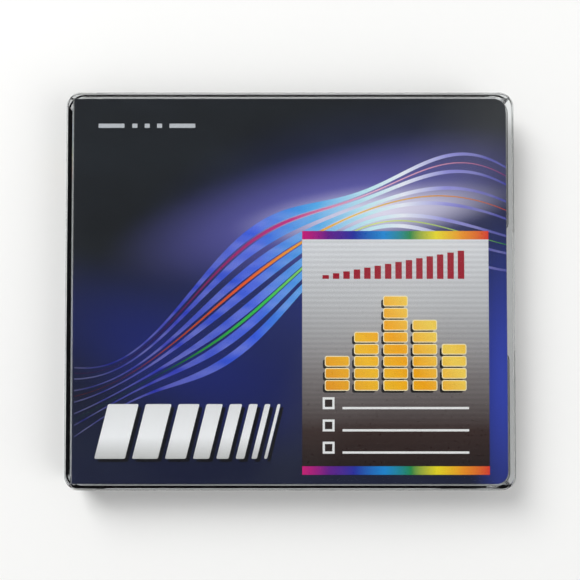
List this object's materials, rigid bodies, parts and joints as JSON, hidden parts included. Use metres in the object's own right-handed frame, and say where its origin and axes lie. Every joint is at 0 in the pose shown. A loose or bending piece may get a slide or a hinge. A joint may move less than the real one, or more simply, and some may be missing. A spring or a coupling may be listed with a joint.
{
  "type": "minidisc cartridge in a slip case",
  "caption": "Flat disc cartridge with a sliding steel shutter and a write-protect tab, kept in a clear slip case over a folded printed card.",
  "frame": {"origin": "middle of the case's underside, at the centre of the bounding box's bottom", "axes": "+Z out of the printed face, +X across the print to its right and out of the case's open mouth, +Y to the top of the print"},
  "size_m": [0.0794, 0.0704, 0.0075],
  "materials": {
    "clear_plastic": "clear moulded polystyrene",
    "printed_card": "full-bleed coloured print on coated card",
    "shell_plastic": "fine matt moulded texture",
    "disc_plastic": "mirror-backed clear plastic",
    "hub_steel": "turned steel",
    "shutter_steel": "brushed along the slide",
    "slider_plastic": "natural acetal",
    "tab_plastic": "moulded"
  },
  "bodies": {
    "case": {"slip_case": "clear_plastic", "inlay_card": "printed_card"},
    "cartridge": {"upper_shell": "shell_plastic", "lower_shell": "shell_plastic"},
    "shutter": {"shutter": "shutter_steel", "shutter_slider": "slider_plastic"},
    "disc": {"disc": "disc_plastic", "hub_plate": "hub_steel"},
    "write_protect_tab": {"write_protect_tab": "tab_plastic"}
  },
  "joints": [
    {"name": "cartridge_slide", "type": "slide", "parent": "case", "child": "cartridge", "axis": [1, 0, 0], "range_m": [0, 0.078]},
    {"name": "shutter_slide", "type": "slide", "parent": "cartridge", "child": "shutter", "axis": [0, -1, 0], "range_m": [0, 0.0195]},
    {"name": "disc_spin", "type": "hinge", "parent": "cartridge", "child": "disc", "pos_m": [0.0015, 0, 0.00355], "axis": [0, 0, 1], "continuous": true},
    {"name": "tab_slide", "type": "slide", "parent": "cartridge", "child": "write_protect_tab", "axis": [0, 1, 0], "range_m": [0, 0.004]}
  ]
}
